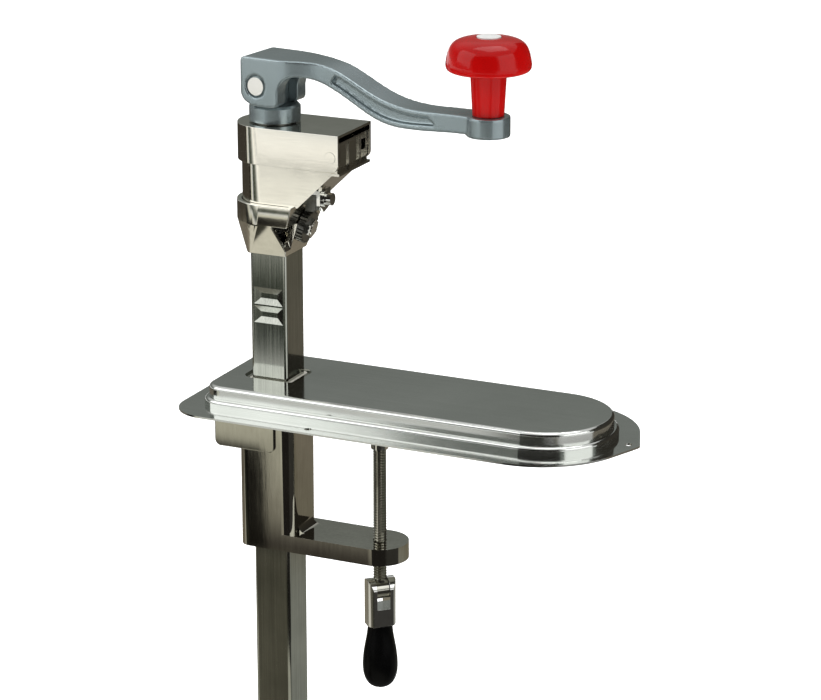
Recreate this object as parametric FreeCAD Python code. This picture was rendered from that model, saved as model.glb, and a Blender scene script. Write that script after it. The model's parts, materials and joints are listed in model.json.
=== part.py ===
import FreeCAD
import Part
import math
import os

# Bench can opener with a table clamp. Millimetres, Z up.
# Origin: underside of the base flange on the axis of the square bar.
# X runs along the base plate towards the can, Y across it.

# Square bar
bar_side = 25.0
bar_wall = 1.6
bar_corner = 2.0
bar_long = 376.0
crimp_drop = (33.0, 45.0)
crimp_width = 20.0
crimp_height = 11.0
crimp_floor_width = 11.4
crimp_floor_height = 3.2
crimp_depth = 1.3
tang_long = 57.0
tang_gap = 0.05
stub_r = 6.0
stub_long = 3.6
plug_cap = 2.4
plug_reach = 16.0

# Base plate, a drawn sheet
sheet = 1.2
platform_left = -32.0
platform_half = 41.4
platform_long = 214.5
platform_corner = 12.0
plate_height = 14.5
step_out = 3.0
step_height = 6.4
roll = 2.4
flange_left_wide = 15.5
flange_side_wide = 20.6
flange_corner = 24.0
flange_tip_wide = 19.1
tip_hole_back = 7.0
side_hole_x = 48.4
side_hole_in = 6.6
screw_hole = 4.5
bar_hole_room_x = 6.0
bar_hole_room_y = 2.5
bar_hole_corner = 7.0

# Clamp frame under the plate
guide_gap = 0.1
guide_wall = 1.85
guide_seat = 0.05
guide_long = 20.0
sleeve_wall_left = 6.5
sleeve_wall_right = 3.5
sleeve_wall_side = 3.9
sleeve_corner = 8.0
sleeve_below = 97.2
arm_thick = 11.0
arm_root = 5.0
clamp_reach = 52.4
strap_out = 14.6
strap_notch = 2.5
strap_gap = 0.1
strap_right = 6.5
strap_thick = 1.6
strap_high = 32.0
strap_round = 4.0

# Clamp screw, pad and handle
thread_r = 4.3
thread_room = 0.08
pad_open = 12.4
pad_r = 13.0
pad_thick = 5.6
neck_wall = 2.5
neck_long = 7.0
spigot_r = 3.0
fit_gap = 0.05
free_gap = 0.3
screw_below = 21.8
eye_r = 6.5
eye_thick = 8.0
handle_turn = 45.0
handle_pin_r = 2.25
cheek_r = 7.4
cheek_thick = 5.0
crown_room = 12.0
crown_thick = 11.6
grip_long = 43.4
grip_r = 11.2
tail_r = 3.2
tail_long = 14.0

# Head, levels from the bottom of the bracket up
bracket_bottom_z = 95.4
bar_into_bracket = 5.6
bracket_floor = 2.2
gear_over_foot = 10.4325
band_high = 12.5
casing_high = 42.5
cap_gap = 4.1
cap_high = 23.2
head_sheet = 1.6
foot_wall = 2.1
bracket_foot_corner = 4.0
bracket_wall = 3.0
bracket_ledge = 3.5
bracket_right = 22.5
window_left = 8.3
window_rise = 2.6
window_near = 9.0
lean = 15.0
casing_r = 20.7
casing_right = 52.5
cap_side_gap = 0.9
cap_over = 1.7
slant_start = 3.3
slant_end_back = 3.9
slant_low_rise = 2.5
slant_high_rise = 24.4
cap_corner = 5.0
rivet_back = 5.4
rivet_drop = 13.9
rivet_r = 3.5
panel_back = 2.9
panel_thick = 1.2

# Spindle and its bushes
spindle_r = 5.0
bush_wall = 3.0
housing_wall = 5.0
housing_rise = 7.5
lower_bush_long = 14.0
upper_bush_long = 20.7
washer_thick = 0.8
washer_wide = 5.0
collar_r = 15.9
collar_long = 10.2
collar_chamfer = 1.4
tongue_thick = 12.0
tongue_half = 9.5
crank_pin_x = -3.4
crank_pin_rise = 12.6
crank_pin_r = 3.5
fork_relief = 12.3
drive_pin_r = 1.5
hub_wall = 2.8

# Bevel gears, feed shaft and feed wheel
apex_over_band = 1.5
gear_module = 1.4
drive_teeth = 14
driven_teeth = 16
face_share = 0.66
tooth_rise = 0.55
tooth_drop = 0.95
tooth_share = 0.36
feed_shaft_r = 4.0
feed_bush_wall = 2.5
feed_hub_wall = 2.4
gear_back = 12.6
wheel_r = 10.5
wheel_thick = 4.5
wheel_teeth = 24
wheel_tooth = 1.3
nut_thick = 2.6

# Cutter group
bolt_rise = 2.3
holder_left = 24.6
holder_long = 6.4
holder_half = 9.0
holder_drop = 6.8
blade_thick = 3.0
bolt_r = 3.0
bolt_head_wall = 0.9
bolt_head_long = 3.6
lock_wall = 2.4
lock_thick = 1.5

# Crank and knob
crank_turn = -6.5
crank_reach = 151.0
fork_back = 11.9
fork_half = 16.5
fork_rise = 18.0
fork_top_round = 4.5
fork_low_round = 4.0
fork_side_round = 3.0
fork_front = 15.8
arm_half = 10.0
groove_deep = 3.0
groove_edge = 3.4
boss_r = 13.2
boss_long = 12.2
boss_drop = 2.6
knob_bolt_r = 4.0
knob_gap = 0.08
knob_head_r = 25.4
knob_high = 46.4
stem_foot_r = 9.5
stem_top_r = 10.9
stem_long = 26.1
cap_screw_r = 7.2
recess_r = 7.0
recess_deep = 2.2
pin_head_r = 5.6
pin_head_long = 1.8

# Levels and outlines that follow from the sizes above
lean_rad = math.radians(lean)
shaft_angle = math.pi / 2 + lean_rad
ratio = driven_teeth / drive_teeth
drive_cone = math.atan2(math.sin(shaft_angle), ratio + math.cos(shaft_angle))
driven_cone = shaft_angle - drive_cone
cone_long = gear_module * drive_teeth / 2 / math.sin(drive_cone)
spindle_low = cone_long * math.cos(drive_cone) * face_share
feed_start = cone_long * math.cos(driven_cone) * face_share - 0.7
driven_drop = cone_long * math.sin(driven_cone + lean_rad)
bar_top_z = bracket_bottom_z + bar_into_bracket
bar_bottom_z = bar_top_z - bar_long
crimp_z = tuple(bar_top_z - drop_down for drop_down in crimp_drop)
tang_bottom_z = bar_top_z - tang_long
stub_top_z = bar_top_z + stub_long
platform_arc_x = platform_left + platform_long
flange_left = platform_left - flange_left_wide
flange_half = platform_half + flange_side_wide
flange_arc_x = platform_arc_x - 2.5
flange_arc = platform_half + 16.6
tip_hole_x = platform_arc_x + platform_half + flange_tip_wide - tip_hole_back
tip_nose = tip_hole_back
side_hole_y = flange_half - side_hole_in
slide = bar_side / 2 + guide_gap
seat = slide + guide_wall
bore = seat + guide_seat
sleeve_left = -bore - sleeve_wall_left
sleeve_right = bore + sleeve_wall_right
frame_half = bore + sleeve_wall_side
frame_bottom_z = -sleeve_below
clamp_x = sleeve_right + clamp_reach
strap_left = sleeve_left - strap_out
notch_x = platform_left - step_out + sheet + strap_gap
strap_half = frame_half + strap_thick
strap_bottom_z = -strap_high
pad_top_z = -pad_open
neck_r = spigot_r + neck_wall
eye_z = frame_bottom_z - screw_below
crown_top_z = eye_z - crown_room
crown_bottom_z = crown_top_z - crown_thick
grip_bottom_z = crown_bottom_z - grip_long
apex_z = bracket_bottom_z + gear_over_foot + driven_drop
band_bottom_z = apex_z - apex_over_band
band_top_z = band_bottom_z + band_high
bracket_foot = bar_side / 2 + foot_wall
bracket_r = casing_r + bracket_ledge
casing_top_z = band_top_z + casing_high
cap_top_z = casing_top_z + cap_gap + head_sheet
cap_bottom_z = cap_top_z - cap_high
cap_r = casing_r + head_sheet + cap_side_gap
cap_right = casing_right + cap_over
lip_right = cap_right
slant_low = (bracket_right + slant_start, band_top_z + slant_low_rise)
slant_high = (casing_right - slant_end_back, band_top_z + slant_high_rise)
rivet_x = cap_right - rivet_back
rivet_z = cap_top_z - rivet_drop
bush_r = spindle_r + bush_wall
housing_r = bush_r + housing_wall
housing_bottom_z = band_top_z + housing_rise
collar_low_z = cap_top_z + washer_thick + 0.1
collar_top_z = collar_low_z + collar_long
pin_z = collar_top_z + crank_pin_rise
hub_r = spindle_r + hub_wall
feed_bush_r = feed_shaft_r + feed_bush_wall
bolt_z = band_top_z + bolt_rise
holder_right = holder_left + holder_long
holder_bottom_z = bolt_z - holder_drop
fork_left = crank_pin_x - fork_back
fork_right = crank_pin_x + fork_front
fork_top_z = pin_z + fork_rise
boss_top_z = pin_z - boss_drop
boss_bottom_z = boss_top_z - boss_long
knob_low_z = boss_top_z + free_gap
knob_top_z = knob_low_z + knob_high
stem_top_z = knob_low_z + stem_long

out = "parts"
os.makedirs(out, exist_ok=True)
made = {}


def vec(x, y, z):
    return FreeCAD.Vector(x, y, z)


def block(x0, x1, y0, y1, z0, z1):
    return Part.makeBox(x1 - x0, y1 - y0, z1 - z0, vec(x0, y0, z0))


def rod(radius, length, at, along):
    return Part.makeCylinder(radius, length, at, along)


def upright(radius, x, y, z0, z1):
    return rod(radius, z1 - z0, vec(x, y, z0), vec(0, 0, 1))


def rounded_rect(x0, x1, y0, y1, r, z):
    k = r * math.sqrt(0.5)
    corners = [
        (x1 - r, y0 + r, 1, -1),
        (x1 - r, y1 - r, 1, 1),
        (x0 + r, y1 - r, -1, 1),
        (x0 + r, y0 + r, -1, -1),
    ]
    starts = [(0, -r), (r, 0), (0, r), (-r, 0)]
    ends = [(r, 0), (0, r), (-r, 0), (0, -r)]
    edges = []
    last = None
    first = None
    for (cx, cy, sx, sy), (ax, ay), (bx, by) in zip(corners, starts, ends):
        a = vec(cx + ax, cy + ay, z)
        m = vec(cx + sx * k, cy + sy * k, z)
        b = vec(cx + bx, cy + by, z)
        if last is not None:
            edges.append(Part.makeLine(last, a))
        else:
            first = a
        edges.append(Part.Arc(a, m, b).toShape())
        last = b
    edges.append(Part.makeLine(last, first))
    return Part.Wire(edges)


def prism(wire, height):
    return Part.Face(wire).extrude(vec(0, 0, height))


def rounded_bar(x0, x1, y0, y1, r, z0, z1):
    return prism(rounded_rect(x0, x1, y0, y1, r, z0), z1 - z0)


def side_poly(points, y0, y1):
    wire = Part.makePolygon([vec(x, y0, z) for x, z in points + points[:1]])
    return Part.Face(wire).extrude(vec(0, y1 - y0, 0))


def d_wire(right, half, corner, z):
    # D shaped outline: square on the right, rounded corners on the left.
    k = corner * math.sqrt(0.5)
    left = -half
    p = [
        vec(right, -half, z),
        vec(left + corner, -half, z),
        vec(left, -half + corner, z),
        vec(left, half - corner, z),
        vec(left + corner, half, z),
        vec(right, half, z),
    ]
    m1 = vec(left + corner - k, -half + corner - k, z)
    m2 = vec(left + corner - k, half - corner + k, z)
    edges = [
        Part.makeLine(p[0], p[1]),
        Part.Arc(p[1], m1, p[2]).toShape(),
        Part.makeLine(p[2], p[3]),
        Part.Arc(p[3], m2, p[4]).toShape(),
        Part.makeLine(p[4], p[5]),
        Part.makeLine(p[5], p[0]),
    ]
    return Part.Wire(edges)


def d_prism(right, half, z0, z1):
    return prism(d_wire(right, half, half - 0.2, z0), z1 - z0)


def turned(points, x, y):
    # Solid of revolution about the upright line through x, y from (r, z).
    wire = Part.makePolygon([vec(x + r, y, z) for r, z in points + points[:1]])
    return Part.Face(wire).revolve(vec(x, y, 0), vec(0, 0, 1), 360)


def keep(name, shape):
    made[name] = shape


# Base plate


def platform_wire(offset, z):
    left = platform_left - offset
    half = platform_half + offset
    r = platform_corner + offset
    k = r * math.sqrt(0.5)
    a = vec(platform_arc_x, -half, z)
    tip = vec(platform_arc_x + half, 0, z)
    b = vec(platform_arc_x, half, z)
    c = vec(left + r, half, z)
    d = vec(left, half - r, z)
    e = vec(left, -half + r, z)
    f = vec(left + r, -half, z)
    edges = [
        Part.Arc(a, tip, b).toShape(),
        Part.makeLine(b, c),
        Part.Arc(c, vec(left + r - k, half - r + k, z), d).toShape(),
        Part.makeLine(d, e),
        Part.Arc(e, vec(left + r - k, -half + r - k, z), f).toShape(),
        Part.makeLine(f, a),
    ]
    return Part.Wire(edges)


def bump(offset, z0, z1, edge):
    body = prism(platform_wire(offset, z0), z1 - z0)
    tops = [e for e in body.Edges if all(abs(v.Z - z1) < 1e-6 for v in e.Vertexes)]
    return body.makeFillet(edge, tops)


def flange_wire(z):
    # Straight left end, two big arcs on the right and a rounded nose.
    cy = flange_half - flange_arc
    nose = vec(tip_hole_x, 0, z)
    centre = vec(flange_arc_x, -cy, z)
    gap = nose.sub(centre)
    reach = gap.Length
    base = math.atan2(gap.y, gap.x)
    swing = math.acos((flange_arc - tip_nose) / reach)
    meet = base - swing
    on_arc = centre.add(vec(flange_arc * math.cos(meet), flange_arc * math.sin(meet), 0))
    on_nose = nose.add(vec(tip_nose * math.cos(meet), tip_nose * math.sin(meet), 0))
    half_way = (meet - math.pi / 2) / 2
    mid = centre.add(vec(flange_arc * math.cos(half_way), flange_arc * math.sin(half_way), 0))
    low = vec(flange_arc_x, -flange_half, z)
    r = flange_corner
    k = r * math.sqrt(0.5)
    x0 = flange_left
    y0 = -flange_half

    def flip(p):
        return vec(p.x, -p.y, p.z)

    tip = vec(tip_hole_x + tip_nose, 0, z)
    edges = [
        Part.Arc(low, mid, on_arc).toShape(),
        Part.makeLine(on_arc, on_nose),
        Part.Arc(on_nose, tip, flip(on_nose)).toShape(),
        Part.makeLine(flip(on_nose), flip(on_arc)),
        Part.Arc(flip(on_arc), flip(mid), flip(low)).toShape(),
        Part.makeLine(flip(low), vec(x0 + r, -y0, z)),
        Part.Arc(vec(x0 + r, -y0, z), vec(x0 + r - k, -y0 - r + k, z), vec(x0, -y0 - r, z)).toShape(),
        Part.makeLine(vec(x0, -y0 - r, z), vec(x0, y0 + r, z)),
        Part.Arc(vec(x0, y0 + r, z), vec(x0 + r - k, y0 + r - k, z), vec(x0 + r, y0, z)).toShape(),
        Part.makeLine(vec(x0 + r, y0, z), low),
    ]
    return Part.Wire(edges)


outer = bump(0, 0, plate_height, roll).fuse(bump(step_out, 0, step_height, roll))
outer = outer.fuse(prism(flange_wire(0), sheet))
inner = bump(-sheet, -1, plate_height - sheet, roll - sheet)
inner = inner.fuse(bump(step_out - sheet, -1, step_height - sheet, roll - sheet))
plate = outer.cut(inner)
hx = bar_side / 2 + bar_hole_room_x
hy = bar_side / 2 + bar_hole_room_y
plate = plate.cut(rounded_bar(-hx, hx, -hy, hy, bar_hole_corner, 0, plate_height + 1))
for hole_x, hole_y in ((side_hole_x, side_hole_y), (side_hole_x, -side_hole_y), (tip_hole_x, 0)):
    plate = plate.cut(upright(screw_hole / 2, hole_x, hole_y, -1, sheet + 1))
keep("base_plate", plate.removeSplitter())

# Clamp frame

sleeve_top_z = plate_height - sheet
sleeve_solid = rounded_bar(
    sleeve_left, sleeve_right, -frame_half, frame_half, sleeve_corner, frame_bottom_z, sleeve_top_z
)
sleeve_hole = rounded_bar(-bore, bore, -bore, bore, bar_corner + 2, frame_bottom_z - 1, sleeve_top_z + 1)
keep("clamp_sleeve", sleeve_solid.cut(sleeve_hole))

arm_top_z = frame_bottom_z + arm_thick
tongue = block(sleeve_right - sleeve_corner, clamp_x, -frame_half, frame_half, frame_bottom_z, arm_top_z)
tongue = tongue.fuse(upright(frame_half, clamp_x, 0, frame_bottom_z, arm_top_z))
root_half = frame_half - sleeve_corner
root_right = sleeve_right + arm_root
root_top_z = arm_top_z + arm_root
root = block(sleeve_right, root_right, -root_half, root_half, arm_top_z, root_top_z)
root = root.cut(rod(arm_root, 2 * frame_half, vec(root_right, -frame_half, root_top_z), vec(0, 1, 0)))
arm = tongue.fuse(root).cut(sleeve_solid)
arm = arm.cut(upright(thread_r + thread_room, clamp_x, 0, frame_bottom_z - 1, arm_top_z + 1))
keep("clamp_arm", arm.removeSplitter())

strap_wire = Part.makePolygon([
    vec(strap_left, -strap_half, strap_bottom_z), vec(strap_right, -strap_half, strap_bottom_z),
    vec(strap_right, -strap_half, 0), vec(strap_left, -strap_half, 0),
    vec(strap_left, -strap_half, strap_bottom_z),
])
strap = Part.Face(strap_wire).extrude(vec(0, 2 * strap_half, 0))
strap_lower = [e for e in strap.Edges if all(abs(v.Z - strap_bottom_z) < 1e-6 for v in e.Vertexes)]
strap_lower = [e for e in strap_lower if abs(e.Vertexes[0].X - e.Vertexes[1].X) < 1e-6]
strap = strap.makeFillet(strap_round, strap_lower)
# The top left corner stays clear of the flange's seat on the table.
strap = strap.cut(block(strap_left - 1, notch_x, -strap_half - 1, strap_half + 1, -strap_notch, 1))
keep("sleeve_strap", strap.cut(sleeve_solid))

for name, low_z in (("upper_guide", sleeve_top_z - guide_long), ("lower_guide", frame_bottom_z)):
    body = rounded_bar(-seat, seat, -seat, seat, bar_corner + 2, low_z, low_z + guide_long)
    hole = rounded_bar(-slide, slide, -slide, slide, bar_corner, low_z - 1, low_z + guide_long + 1)
    keep(name, body.cut(hole))

# Clamp screw, pad, handle

pad_low_z = pad_top_z - pad_thick
neck_low_z = pad_low_z - neck_long
pad = upright(pad_r, clamp_x, 0, pad_low_z, pad_top_z)
pad = pad.fuse(upright(neck_r, clamp_x, 0, neck_low_z, pad_low_z))
socket_top_z = pad_top_z - 2.4
pad = pad.cut(upright(spigot_r + fit_gap, clamp_x, 0, neck_low_z - 1, socket_top_z))
keep("clamp_pad", pad.removeSplitter())

shoulder_z = neck_low_z - free_gap
screw = upright(spigot_r, clamp_x, 0, shoulder_z, socket_top_z - free_gap)
screw = screw.fuse(upright(thread_r, clamp_x, 0, eye_z, shoulder_z))
half_eye = eye_thick / 2
along_pin = vec(1, 0, 0)
screw = screw.fuse(rod(eye_r, eye_thick, vec(clamp_x - half_eye, 0, eye_z), along_pin))
screw = screw.common(
    block(clamp_x - half_eye, clamp_x + half_eye, -eye_r, eye_r, eye_z - eye_r, eye_z + eye_r).fuse(
        upright(thread_r, clamp_x, 0, eye_z, pad_top_z)
    )
)
screw = screw.cut(rod(handle_pin_r + fit_gap, 30, vec(clamp_x - 15, 0, eye_z), along_pin))

cheek_in = half_eye + free_gap
cheek_out = cheek_in + cheek_thick
yoke = block(clamp_x - cheek_out, clamp_x + cheek_out, -cheek_r, cheek_r, crown_bottom_z, eye_z)
yoke = yoke.fuse(rod(cheek_r, 2 * cheek_out, vec(clamp_x - cheek_out, 0, eye_z), along_pin))
yoke = yoke.cut(block(clamp_x - cheek_in, clamp_x + cheek_in, -20, 20, crown_top_z, eye_z + 20))
yoke = yoke.common(upright(cheek_out + 0.6, clamp_x, 0, crown_bottom_z, eye_z + 20))
yoke = yoke.cut(rod(handle_pin_r, 40, vec(clamp_x - 20, 0, eye_z), along_pin))
yoke = yoke.removeSplitter()
handle_pin = rod(handle_pin_r, 2 * cheek_out, vec(clamp_x - cheek_out, 0, eye_z), along_pin)

yoke = yoke.fuse(upright(tail_r, clamp_x, 0, crown_bottom_z - tail_long, crown_bottom_z))
grip_top_z = crown_bottom_z
grip_span = grip_top_z - grip_bottom_z
grip_rows = [
    (0.0, 0.70), (0.12, 0.74), (0.28, 0.84), (0.45, 0.95), (0.62, 1.0),
    (0.76, 0.97), (0.87, 0.84), (0.94, 0.65), (0.985, 0.35), (1.0, 0.0),
]
grip_points = [vec(clamp_x + grip_r * wide, 0, grip_top_z - grip_span * down) for down, wide in grip_rows]
grip_curve = Part.BSplineCurve()
grip_curve.interpolate(grip_points)
grip_face = Part.Face(
    Part.Wire(
        [
            Part.makeLine(vec(clamp_x, 0, grip_top_z), grip_points[0]),
            grip_curve.toShape(),
            Part.makeLine(grip_points[-1], vec(clamp_x, 0, grip_top_z)),
        ]
    )
)
grip = grip_face.revolve(vec(clamp_x, 0, 0), vec(0, 0, 1), 360)
grip = grip.cut(upright(tail_r, clamp_x, 0, crown_bottom_z - tail_long, crown_bottom_z + 1))

for name, shape in (
    ("clamp_screw", screw), ("handle_yoke", yoke), ("handle_pin", handle_pin), ("handle_grip", grip),
):
    shape.rotate(vec(clamp_x, 0, 0), vec(0, 0, 1), handle_turn)
    keep(name, shape)

# Bar


def crimp(level, shift, grow):
    # Tapered pocket pressed into the front face.
    front = -bar_side / 2 + shift
    rows = ((front - 0.001, crimp_width, crimp_height),
            (front + crimp_depth + grow, crimp_floor_width, crimp_floor_height))
    wires = []
    for y, wide, high in rows:
        hw = wide / 2 + grow
        hh = high / 2 + grow
        corners = ((-hw, -hh), (hw, -hh), (hw, hh), (-hw, hh))
        pts = [vec(x, y, level + z) for x, z in corners]
        wires.append(Part.makePolygon(pts + pts[:1]))
    return Part.makeLoft(wires, True, True)


half = bar_side / 2
hollow = half - bar_wall
tube = rounded_bar(-half, half, -half, half, bar_corner, bar_bottom_z, bar_top_z)
tube = tube.cut(
    rounded_bar(-hollow, hollow, -hollow, hollow, bar_corner / 2, bar_bottom_z - 1, bar_top_z + 1)
)
for level in crimp_z:
    tube = tube.fuse(crimp(level, bar_wall, 0.0))
for level in crimp_z:
    tube = tube.cut(crimp(level, 0.0, 0.0))
keep("bar_tube", tube.removeSplitter())

inside = hollow - tang_gap
tang = rounded_bar(-inside, inside, -inside, inside, bar_corner / 2, tang_bottom_z, bar_top_z)
for level in crimp_z:
    tang = tang.cut(crimp(level, bar_wall, tang_gap))
    tang = tang.cut(crimp(level, bar_wall - 0.2, tang_gap))
tang = tang.fuse(upright(stub_r, 0, 0, bar_top_z, stub_top_z))
keep("bar_tang", tang)

plug = rounded_bar(-half, half, -half, half, bar_corner, bar_bottom_z - plug_cap, bar_bottom_z)
plug = plug.fuse(
    rounded_bar(-inside, inside, -inside, inside, bar_corner / 2, bar_bottom_z, bar_bottom_z + plug_reach)
)
keep("bar_plug", plug)

# Head bracket

feed_dir = vec(math.cos(lean_rad), 0, -math.sin(lean_rad))
apex = vec(0, 0, apex_z)


def feed_point(s):
    return apex.add(vec(feed_dir.x * s, 0, feed_dir.z * s))


def left_of_lean(shift):
    # Half space to the left of the leaning right wall, as a large block.
    x = bracket_right - shift / math.cos(lean_rad)
    big = Part.makeBox(200, 200, 400, vec(x - 200, -100, band_top_z - 200))
    big.rotate(vec(x, 0, band_top_z), vec(0, 1, 0), lean)
    return big


foot = bracket_foot
wide = bracket_right + 4
lower = Part.makeLoft(
    [
        d_wire(wide, foot, bracket_foot_corner, bracket_bottom_z),
        d_wire(wide, bracket_r, bracket_r - 0.2, band_bottom_z),
    ],
    True,
    True,
)
bracket = lower.fuse(d_prism(wide, bracket_r, band_bottom_z, band_top_z)).common(left_of_lean(0))
floor_z = bar_top_z + bracket_floor
share = (floor_z - bracket_bottom_z) / (band_bottom_z - bracket_bottom_z)
floor_half = foot + (bracket_r - foot) * share - bracket_wall
room_low = Part.makeLoft(
    [
        d_wire(wide, floor_half, min(floor_half - 0.2, bracket_foot_corner + 9), floor_z),
        d_wire(wide, bracket_r - bracket_wall, bracket_r - bracket_wall - 0.2, band_bottom_z),
    ],
    True,
    True,
)
room = room_low.fuse(d_prism(wide, bracket_r - bracket_wall, band_bottom_z, band_top_z + 1))
bracket = bracket.cut(room.common(left_of_lean(bracket_wall)))
socket = half + tang_gap
bracket = bracket.cut(
    rounded_bar(-socket, socket, -socket, socket, bar_corner, bracket_bottom_z - 1, bar_top_z)
)
bracket = bracket.cut(upright(stub_r, 0, 0, bar_top_z - 0.01, stub_top_z))
# Front right corner is cut away on a slant, so that the gears can be reached.
window_low_z = bracket_bottom_z + window_rise
window_points = [
    (window_left, band_bottom_z - 0.6), (wide + 20, band_bottom_z - 0.6),
    (wide + 20, window_low_z), (foot + 0.3, window_low_z),
]
bracket = bracket.cut(side_poly(window_points, -40, -window_near))
boss_in = gear_back + 0.3
wall_out = bracket_right * math.cos(lean_rad) - (band_top_z - apex_z) * math.sin(lean_rad)
wheel_start = wall_out + 0.7
boss = rod(feed_bush_r + 2.2, wall_out + 3 - boss_in, feed_point(boss_in), feed_dir)
bracket = bracket.fuse(boss.common(left_of_lean(0)))
bracket = bracket.cut(rod(feed_bush_r, 20, feed_point(boss_in - 5), feed_dir))
keep("head_bracket", bracket.removeSplitter())

# Casing, sheets and cap

slope = math.atan2(slant_high[1] - slant_low[1], slant_high[0] - slant_low[0])
drop = head_sheet / math.cos(slope)
run = 1 / math.tan(slope)
deck_top_z = band_top_z + head_sheet
knee_x = slant_low[0] - (slant_low[1] - deck_top_z) * run
above = [
    (-40, deck_top_z), (knee_x, deck_top_z), slant_high, (casing_right, slant_high[1]),
    (casing_right, casing_top_z), (-40, casing_top_z),
]
casing = d_prism(casing_right, casing_r, deck_top_z, casing_top_z)
casing = casing.common(side_poly(above, -50, 50))
in_r = casing_r - head_sheet
casing = casing.cut(d_prism(casing_right + 5, in_r, deck_top_z - 1, casing_top_z - head_sheet))
casing = casing.cut(upright(bush_r, 0, 0, casing_top_z - 5, casing_top_z + 1))
for side in (-1, 1):
    casing = casing.cut(rod(rivet_r, 10, vec(rivet_x, side * 15, rivet_z), vec(0, side, 0)))
keep("lower_casing", casing.removeSplitter())

slant_half = casing_r + 0.9
sheet_line = [
    (-40, deck_top_z), (knee_x, deck_top_z), slant_high, (lip_right, slant_high[1]),
    (lip_right, slant_high[1] - head_sheet), (slant_high[0] + 0.5, slant_high[1] - head_sheet),
    (knee_x + 0.6, band_top_z), (-40, band_top_z),
]
sheet_body = side_poly(sheet_line, -slant_half, slant_half)
flat_part = d_prism(knee_x, casing_r, band_top_z - 1, deck_top_z + 1)
slant_part = block(knee_x, lip_right + 1, -slant_half, slant_half, band_top_z - 1, cap_top_z)
deck = sheet_body.common(flat_part.fuse(slant_part))
deck = deck.cut(upright(hub_r + 4.7, 0, 0, band_top_z - 1, deck_top_z + 1))
deck = deck.cut(rod(bolt_r, 40, vec(0, 0, bolt_z), vec(1, 0, 0)))
keep("slant_sheet", deck.removeSplitter())

panel_x = casing_right - panel_back
panel_out = panel_x + panel_thick
panel_half = in_r - 0.1
panel = block(panel_x, panel_out, -panel_half, panel_half, slant_high[1], casing_top_z - head_sheet)
for rib_y in (-15.6, -2.0, 12.5):
    panel = panel.fuse(
        block(panel_out, panel_out + 1.0, rib_y - 0.9, rib_y + 0.9, slant_high[1], casing_top_z - head_sheet)
    )
for side in (-1, 1):
    panel = panel.cut(rod(rivet_r + 0.4, 10, vec(rivet_x, side * (in_r - 3), rivet_z), vec(0, side, 0)))
keep("end_panel", panel.removeSplitter())

cap = d_prism(cap_right, cap_r, cap_bottom_z, cap_top_z)
cap = cap.cut(d_prism(cap_right + 5, cap_r - head_sheet, cap_bottom_z - 1, cap_top_z - head_sheet))
knock_x = cap_right - cap_corner
cap_knock = block(knock_x, cap_right + 1, -50, 50, cap_bottom_z - 1, cap_bottom_z + cap_corner)
cap_knock = cap_knock.cut(
    rod(cap_corner, 100, vec(knock_x, -50, cap_bottom_z + cap_corner), vec(0, 1, 0))
)
cap = cap.cut(cap_knock)
cap = cap.cut(upright(bush_r, 0, 0, cap_top_z - 5, cap_top_z + 1))
for side in (-1, 1):
    cap = cap.cut(rod(rivet_r, 10, vec(rivet_x, side * 15, rivet_z), vec(0, side, 0)))
keep("top_cap", cap.removeSplitter())
for name, side in (("front_rivet", -1), ("back_rivet", 1)):
    keep(name, rod(rivet_r, cap_r + 0.2 - in_r, vec(rivet_x, side * in_r, rivet_z), vec(0, side, 0)))

# Spindle and bushes

housing_top_z = casing_top_z - head_sheet
housing = upright(housing_r, 0, 0, housing_bottom_z, housing_top_z)
housing = housing.fuse(d_prism(30, in_r - 0.1, housing_bottom_z, housing_bottom_z + 4))
housing = housing.common(side_poly([(x, z + 0.4) for x, z in above], -50, 50))
housing = housing.cut(upright(bush_r, 0, 0, housing_bottom_z - 1, housing_top_z + 1))
keep("spindle_housing", housing.removeSplitter())

run_r = spindle_r + fit_gap
lower_bush = upright(bush_r, 0, 0, housing_bottom_z, housing_bottom_z + lower_bush_long)
lower_bush = lower_bush.fuse(upright(bush_r + 2, 0, 0, housing_bottom_z - 2, housing_bottom_z))
upper_bush = upright(bush_r, 0, 0, cap_top_z - upper_bush_long, cap_top_z)
upper_bush = upper_bush.fuse(upright(bush_r + 3, 0, 0, casing_top_z, cap_top_z - head_sheet))
keep("lower_bush", lower_bush.cut(upright(run_r, 0, 0, band_bottom_z, cap_top_z + 1)))
keep("upper_bush", upper_bush.cut(upright(run_r, 0, 0, band_bottom_z, cap_top_z + 1)))
washer = upright(bush_r + washer_wide, 0, 0, cap_top_z, cap_top_z + washer_thick)
keep("thrust_washer", washer.cut(upright(spindle_r + free_gap, 0, 0, cap_top_z - 1, collar_low_z)))

c = collar_chamfer
collar = turned(
    [(0, collar_low_z), (collar_r, collar_low_z), (collar_r, collar_top_z - c),
     (collar_r - c, collar_top_z), (0, collar_top_z)], 0, 0
)
tongue = block(crank_pin_x - tongue_half, crank_pin_x + tongue_half,
               -tongue_thick / 2, tongue_thick / 2, collar_top_z - 1, pin_z)
tongue = tongue.fuse(
    rod(tongue_half, tongue_thick, vec(crank_pin_x, -tongue_thick / 2, pin_z), vec(0, 1, 0))
)
tongue = tongue.cut(rod(crank_pin_r + fit_gap, 60, vec(crank_pin_x, -30, pin_z), vec(0, 1, 0)))
spindle = upright(spindle_r, 0, 0, apex_z + spindle_low, collar_low_z + 1)
hub_top_z = housing_bottom_z - 2.2
drive_pin_z = hub_top_z - 3.2
spindle = spindle.cut(rod(drive_pin_r, 40, vec(-20, 0, drive_pin_z), vec(1, 0, 0)))
collar_part = collar.fuse(tongue)
collar_part = collar_part.cut(upright(spindle_r, 0, 0, collar_low_z - 1, collar_low_z + 1))
keep("spindle_collar", collar_part.removeSplitter())
keep("spindle_shaft", spindle)
keep("drive_pin", rod(drive_pin_r, 2 * hub_r - 0.4, vec(-hub_r + 0.2, 0, drive_pin_z), vec(1, 0, 0)))

# Bevel gears

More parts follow.
